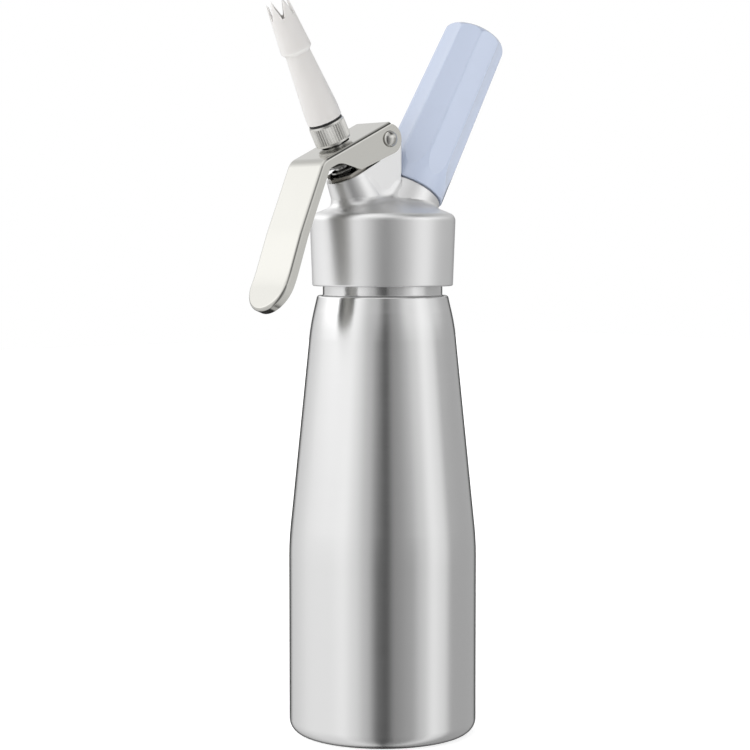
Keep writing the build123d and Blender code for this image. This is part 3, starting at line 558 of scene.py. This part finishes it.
def wound_spring(name):
    """Mesh tube along the coil, set on the valve's axis."""
    steps = TURNS * STEPS_PER_TURN
    points = [point for step in range(steps + 1) for point in wire_ring(step / STEPS_PER_TURN)]
    faces = []
    for step in range(steps):
        for side in range(WIRE_SIDES):
            here, beside = step * WIRE_SIDES + side, step * WIRE_SIDES + (side + 1) % WIRE_SIDES
            faces.append((here, here + WIRE_SIDES, beside + WIRE_SIDES, beside))
    first_end = tuple(range(WIRE_SIDES))
    last_end = tuple(range(steps * WIRE_SIDES, (steps + 1) * WIRE_SIDES))[::-1]
    way = axis_way(VALVE_LEAN)
    across = Vector((way.z, 0, -way.x))
    foot = VALVE_FOOT + way * SPRING_FOOT
    placed = [foot + across * p.x + Vector((0, 1, 0)) * p.y + way * p.z for p in points]
    mesh = bpy.data.meshes.new(name)
    mesh.from_pydata(placed, [], [*faces, first_end, last_end])
    smooth(mesh)
    return put_in_scene(name, mesh)


# Stainless wire: grey, drawn smooth.
spring_wire = tumbled_metal("stainless_spring_wire", "#A9A9A7", roughness=0.24, grain_mm=0.2, wave_mm=4,
                            bump=0.15)
spring = wound_spring("wound_spring")
cover(spring, spring_wire)
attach(spring, "head")
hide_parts("valve_spring")
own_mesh(spring)
print("spring faces:", len(spring.data.polygons))

# %% [markdown]
# ## The pivot's rivet
# A rivet's head is formed cold between two dies, and comes out as a dome that is upright at its rim and
# flattens towards the top. The CAD rivet has flatter domes, which meet the lever's ears at a slant.
# A quarter of an ellipse gives the fuller outline. This piece is turned from it, with the shank between
# its two heads, and replaces the CAD one.

# %% Turn the rivet
PIVOT = Vector((-5.8, 0, 254.6)) * MM
SHANK_R = 2.0 * MM
HEAD_R = 3.5 * MM
HEAD_HEIGHT = 2.3 * MM
HEAD_SEAT = 11.8 * MM          # from the middle plane to the outside of an ear
HEAD_STEPS = 10                # from a head's rim to its middle
RIVET_SIDES = 48


def rivet_outline():
    """Radius and place along Y of half the rivet's outline, from its shank to near its head's middle."""
    outline = [(SHANK_R, HEAD_SEAT)]
    for step in range(HEAD_STEPS):
        angle = math.pi / 2 * step / HEAD_STEPS
        outline.append((HEAD_R * math.cos(angle), HEAD_SEAT + HEAD_HEIGHT * math.sin(angle)))
    return outline


def turned_rivet(name):
    """Mesh turned about the pivot, along Y."""
    half = rivet_outline()
    other_half = [(radius, -along) for radius, along in reversed(half)]
    angles = [math.tau * side / RIVET_SIDES for side in range(RIVET_SIDES)]
    turned = bmesh.new()
    rings = []
    for radius, along in other_half + half:
        rings.append([turned.verts.new(PIVOT + Vector((radius * math.cos(a), along, radius * math.sin(a))))
                      for a in angles])
    for low, high in zip(rings, rings[1:]):
        for side in range(RIVET_SIDES):
            beside = (side + 1) % RIVET_SIDES
            turned.faces.new((low[side], high[side], high[beside], low[beside]))
    for ring, end in ((rings[0], -1), (rings[-1], 1)):
        middle = turned.verts.new(PIVOT + Vector((0, end * (HEAD_SEAT + HEAD_HEIGHT), 0)))
        for side in range(RIVET_SIDES):
            turned.faces.new((ring[side], ring[(side + 1) % RIVET_SIDES], middle))
    bmesh.ops.recalc_face_normals(turned, faces=turned.faces)
    mesh = bpy.data.meshes.new(name)
    turned.to_mesh(mesh)
    turned.free()
    smooth(mesh)
    return put_in_scene(name, mesh)


rivet = turned_rivet("domed_rivet")
cover(rivet, plated_rivet)
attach(rivet, "head")
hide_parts("pivot_pin")
print("rivet faces:", len(rivet.data.polygons))

# %% [markdown]
# ## The nozzle's length
# Decorating tips differ a little in length from one mould to the next. This one has a slightly shorter
# cone than the solid, with petals of the same size. Pressing a copy of the solid down its own axis gives
# that: points below the cone stay, points on it come down in proportion, and the petals come down whole.

# %% Press the nozzle's cone down
CONE_LOW = 72.1 * MM           # up the valve's axis, where the cone starts
CONE_HIGH = 100.1 * MM         # and where the petals start
CONE_LOSS = 2.6 * MM


def pressed_down(source, name):
    """Copy of the nozzle with a shorter cone."""
    piece = put_in_scene(name, source.data.copy())
    way = axis_way(VALVE_LEAN)
    for vertex in piece.data.vertices:
        along = along_and_out(vertex.co, VALVE_FOOT, VALVE_LEAN)[0]
        share = min(max((along - CONE_LOW) / (CONE_HIGH - CONE_LOW), 0), 1)
        vertex.co -= way * CONE_LOSS * share
    return piece


short_nozzle = pressed_down(nodes["nozzle"], "short_nozzle")
cover(short_nozzle, acetal)
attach(short_nozzle, "nozzle")
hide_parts("nozzle")
print("nozzle shortened by", CONE_LOSS / MM, "mm")

# %% [markdown]
# ## Camera
# The camera stands a little under a metre away, at two thirds of the dispenser's height, and looks
# slightly down. A long lens at that distance keeps the bottle's sides nearly upright. Its focal length
# is worked out in pixels of a square image and then given to Blender in millimetres of the sensor.

# %% Camera
BOTTLE_AXIS_SHIFT_PX = 7.6     # the bottle stands a little right of the middle of the image
IMAGE_PX = 750
FOCAL_PX = 2106
SENSOR_MM = 36
CAMERA_AZIMUTH = math.radians(-40)
CAMERA_DISTANCE = 0.903
CAMERA_HEIGHT = 0.210
CAMERA_PITCH = math.radians(3.53)

towards_camera = Vector((math.sin(CAMERA_AZIMUTH), -math.cos(CAMERA_AZIMUTH), 0))
image_right = Vector((math.cos(CAMERA_AZIMUTH), math.sin(CAMERA_AZIMUTH), 0))
camera = put_in_scene("camera", bpy.data.cameras.new("camera"))
camera.data.sensor_width = SENSOR_MM
camera.data.lens = FOCAL_PX / IMAGE_PX * SENSOR_MM
yaw = math.atan(BOTTLE_AXIS_SHIFT_PX / FOCAL_PX)
camera.location = towards_camera * CAMERA_DISTANCE + Vector((0, 0, CAMERA_HEIGHT))
camera.rotation_euler = (math.pi / 2 - CAMERA_PITCH, 0, CAMERA_AZIMUTH + yaw)
bpy.context.scene.camera = camera
print("lens", round(camera.data.lens, 1), "mm")

# %% [markdown]
# ## Floor
# The dispenser stands on a sheet of white paper that fades into a white surround. Paper in a light tent
# is lit from all round, so it also gives off some white of its own here, which leaves only a soft
# shadow under the bottle.

# %% Floor
FLOOR_HALF = 3.0
FIBRE_MM = 2
FLOOR_GLOW = 0.55              # share of full white that the paper gives off by itself
floor_mesh = bpy.data.meshes.new("floor")
corners = [(-FLOOR_HALF, -FLOOR_HALF, 0), (FLOOR_HALF, -FLOOR_HALF, 0), (FLOOR_HALF, FLOOR_HALF, 0),
           (-FLOOR_HALF, FLOOR_HALF, 0)]
floor_mesh.from_pydata(corners, [], [(0, 1, 2, 3)])
floor = put_in_scene("floor", floor_mesh)
floor.visible_glossy = False   # the metal sees the tent instead, as it does over a raised glass table
paper, paper_tree = new_material("white_paper_floor")
fibres = add(paper_tree, "ShaderNodeTexNoise", Scale=per_metre(FIBRE_MM), Detail=2.0)
paper_tone = add(paper_tree, "ShaderNodeMix", {"data_type": "RGBA"}, _0=fibres,
                 _6=darker("#FFFFFF", 0.95), _7=linear("#FFFFFF"))
paper_shader = add(paper_tree, "ShaderNodeBsdfPrincipled", Base_Color=paper_tone.outputs[2],
                   Roughness=0.9, Emission_Color=linear("#FFFFFF"), Emission_Strength=FLOOR_GLOW)
add(paper_tree, "ShaderNodeOutputMaterial", Surface=paper_shader)
cover(floor, paper)
print("floor", 2 * FLOOR_HALF, "m wide")

# %% [markdown]
# ## Light
# A polished metal shows its surroundings more than its own colour, so the surroundings are designed
# first. A product studio hangs a white tent round the object, with soft boxes on its left and right and
# a gap where the camera looks in. Black cards go where an edge needs a dark line: one behind the bottle,
# one over the camera for the rim of the lever's handle, and one over the right for the lever's top edge.
# Lamps could light the scene too, but metal would show their hard outlines. The world shader paints the
# tent instead, as three rings of brightness round the compass: what stands level with the bottle, the
# panels above it, and the ceiling. The camera itself sees plain white past the object.

# %% Brightness of the tent
# Degrees from the camera's side of the object, left is negative, and the brightness in that direction.
TENT = (
    (-180, 0.05), (-160, 0.05),                                            # black card behind
    (-145, 0.80), (-95, 1.05), (-70, 1.05), (-50, 1.15), (-35, 0.95),      # left panel
    (-20, 0.65), (-5, 0.15), (5, 0.10), (15, 0.35),                        # gap for the camera
    (35, 0.45), (50, 0.75), (65, 1.10), (80, 0.95), (95, 0.50),            # right strip light
    (150, 0.50), (160, 0.05), (180, 0.05),                                 # grey wall, then the card again
)
PANELS = (
    (-180, 0.90), (-155, 1.10), (-130, 1.40),                              # back wall
    (-105, 1.80), (-80, 1.85), (-50, 1.40),                                # left soft box
    (-20, 0.65), (-10, 0.60), (5, 0.05), (20, 0.40),                       # black card over the camera
    (45, 1.10), (70, 1.40), (95, 1.05),                                    # right soft box
    (130, 0.65), (155, 0.60), (180, 0.90),                                 # back wall
)
CEILING = (
    (-180, 0.65), (-140, 0.85),                                            # back
    (-105, 1.20), (-60, 1.35), (-20, 1.05), (30, 0.80), (50, 0.60),        # bright over the left
    (60, 0.10), (85, 0.10),                                                # black card over the right
    (100, 0.45), (145, 0.55), (180, 0.65),                                 # back
)
print("tent directions:", len(TENT) + len(PANELS) + len(CEILING))

# %% Three rings of light
world = bpy.data.worlds.new("studio_tent")
bpy.context.scene.world = world
world.use_nodes = True
sky = world.node_tree
sky.nodes.clear()
ray = add(sky, "ShaderNodeTexCoord").outputs["Generated"]
sideways = add(sky, "ShaderNodeVectorMath", {"operation": "DOT_PRODUCT"}, _0=ray, _1=image_right)
forwards = add(sky, "ShaderNodeVectorMath", {"operation": "DOT_PRODUCT"}, _0=ray, _1=towards_camera)
bearing = add(sky, "ShaderNodeMath", {"operation": "ARCTAN2"}, _0=sideways.outputs["Value"],
              _1=forwards.outputs["Value"])
compass = add(sky, "ShaderNodeMath", {"operation": "MULTIPLY_ADD"}, _0=bearing, _1=1 / math.tau, _2=0.5)

rings = []
for stops in (TENT, PANELS, CEILING):
    ring = add(sky, "ShaderNodeValToRGB", Fac=compass)
    ring.color_ramp.interpolation = "EASE"
    elements = ring.color_ramp.elements
    elements.remove(elements[-1])
    for index, (degrees, level) in enumerate(stops):
        stop = elements.new((degrees + 180) / 360) if index else elements[0]
        stop.position = (degrees + 180) / 360
        stop.color = (level, level, level, 1)
    rings.append(ring)
print("rings of light:", len(rings))

# %% The tent from floor to ceiling
# A ray's height is the Z of its unit direction: 0 is level and 1 is straight up.
PANELS_FROM, PANELS_FULL = 0.11, 0.25
CEILING_FROM, CEILING_FULL = 0.42, 0.68
UNDERSIDE_FULL, UNDERSIDE_FROM = -0.75, -0.05
UNDERSIDE = 0.85               # share of the light that comes from below

ray_height = add(sky, "ShaderNodeSeparateXYZ", Vector=ray).outputs["Z"]
raised = add(sky, "ShaderNodeMapRange", {"interpolation_type": "SMOOTHSTEP"}, Value=ray_height,
             From_Min=PANELS_FROM, From_Max=PANELS_FULL)
overhead = add(sky, "ShaderNodeMapRange", {"interpolation_type": "SMOOTHSTEP"}, Value=ray_height,
               From_Min=CEILING_FROM, From_Max=CEILING_FULL)
below = add(sky, "ShaderNodeMapRange", {"interpolation_type": "SMOOTHSTEP"}, Value=ray_height,
            From_Min=UNDERSIDE_FULL, From_Max=UNDERSIDE_FROM, To_Min=UNDERSIDE, To_Max=1.0)
walls = add(sky, "ShaderNodeMix", {"data_type": "RGBA"}, _0=raised, _6=rings[0], _7=rings[1])
tent = add(sky, "ShaderNodeMix", {"data_type": "RGBA"}, _0=overhead, _6=walls.outputs[2], _7=rings[2])
shaded = add(sky, "ShaderNodeMix", {"data_type": "RGBA", "blend_type": "MULTIPLY"}, _0=1.0,
             _6=tent.outputs[2], _7=below)
seen = add(sky, "ShaderNodeLightPath").outputs["Is Camera Ray"]
surround = add(sky, "ShaderNodeMix", {"data_type": "RGBA"}, _0=seen, _6=shaded.outputs[2],
               _7=linear("#FFFFFF"))
glow = add(sky, "ShaderNodeBackground", Color=surround.outputs[2])
add(sky, "ShaderNodeOutputWorld", Surface=glow)
bpy.context.scene.view_settings.view_transform = "Standard"
print("world nodes:", len(sky.nodes))
